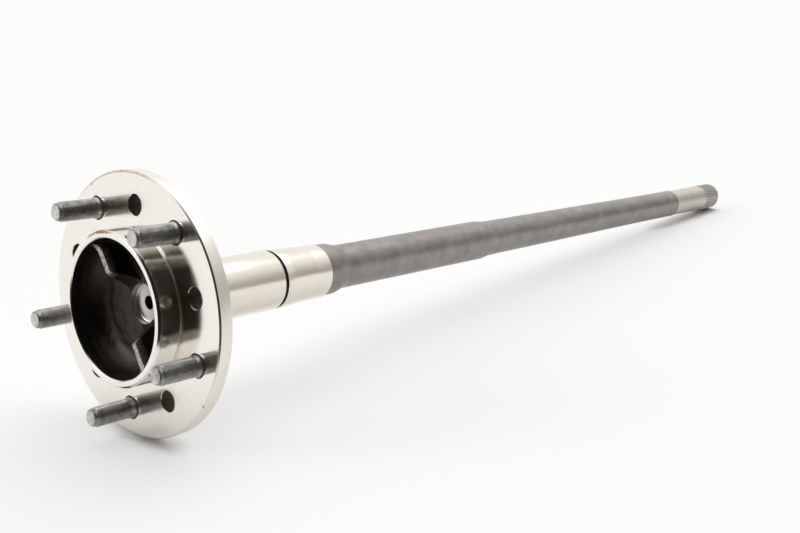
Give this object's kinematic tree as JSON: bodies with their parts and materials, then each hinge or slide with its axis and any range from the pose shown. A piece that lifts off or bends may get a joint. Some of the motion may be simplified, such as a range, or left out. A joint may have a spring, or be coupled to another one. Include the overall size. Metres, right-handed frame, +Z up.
{
  "type": "axle shaft",
  "caption": "Semi-floating rear axle shaft: forged shaft with a splined end, bearing seats and a round wheel flange with hub pilot, pressed-in studs and access holes.",
  "frame": {"origin": "centre of the wheel face, on the axle's own axis", "axes": "+X towards the splined end, +Z up from the floor that the shaft lies on; the axle's axis runs along +X and drops towards the splined end by 5.25 degrees, because the shaft lies on the flange rim and on its splined end"},
  "size_m": [0.9078, 0.188, 0.1879],
  "materials": {
    "forged_steel": "as forged and dark on the shaft and in the cup, ground bright on the flange face, pilot and seats",
    "stud_steel": "matt grey phosphate"
  },
  "bodies": {
    "root": {"axle_shaft": "forged_steel", "wheel_studs": "stud_steel"}
  },
  "joints": []
}
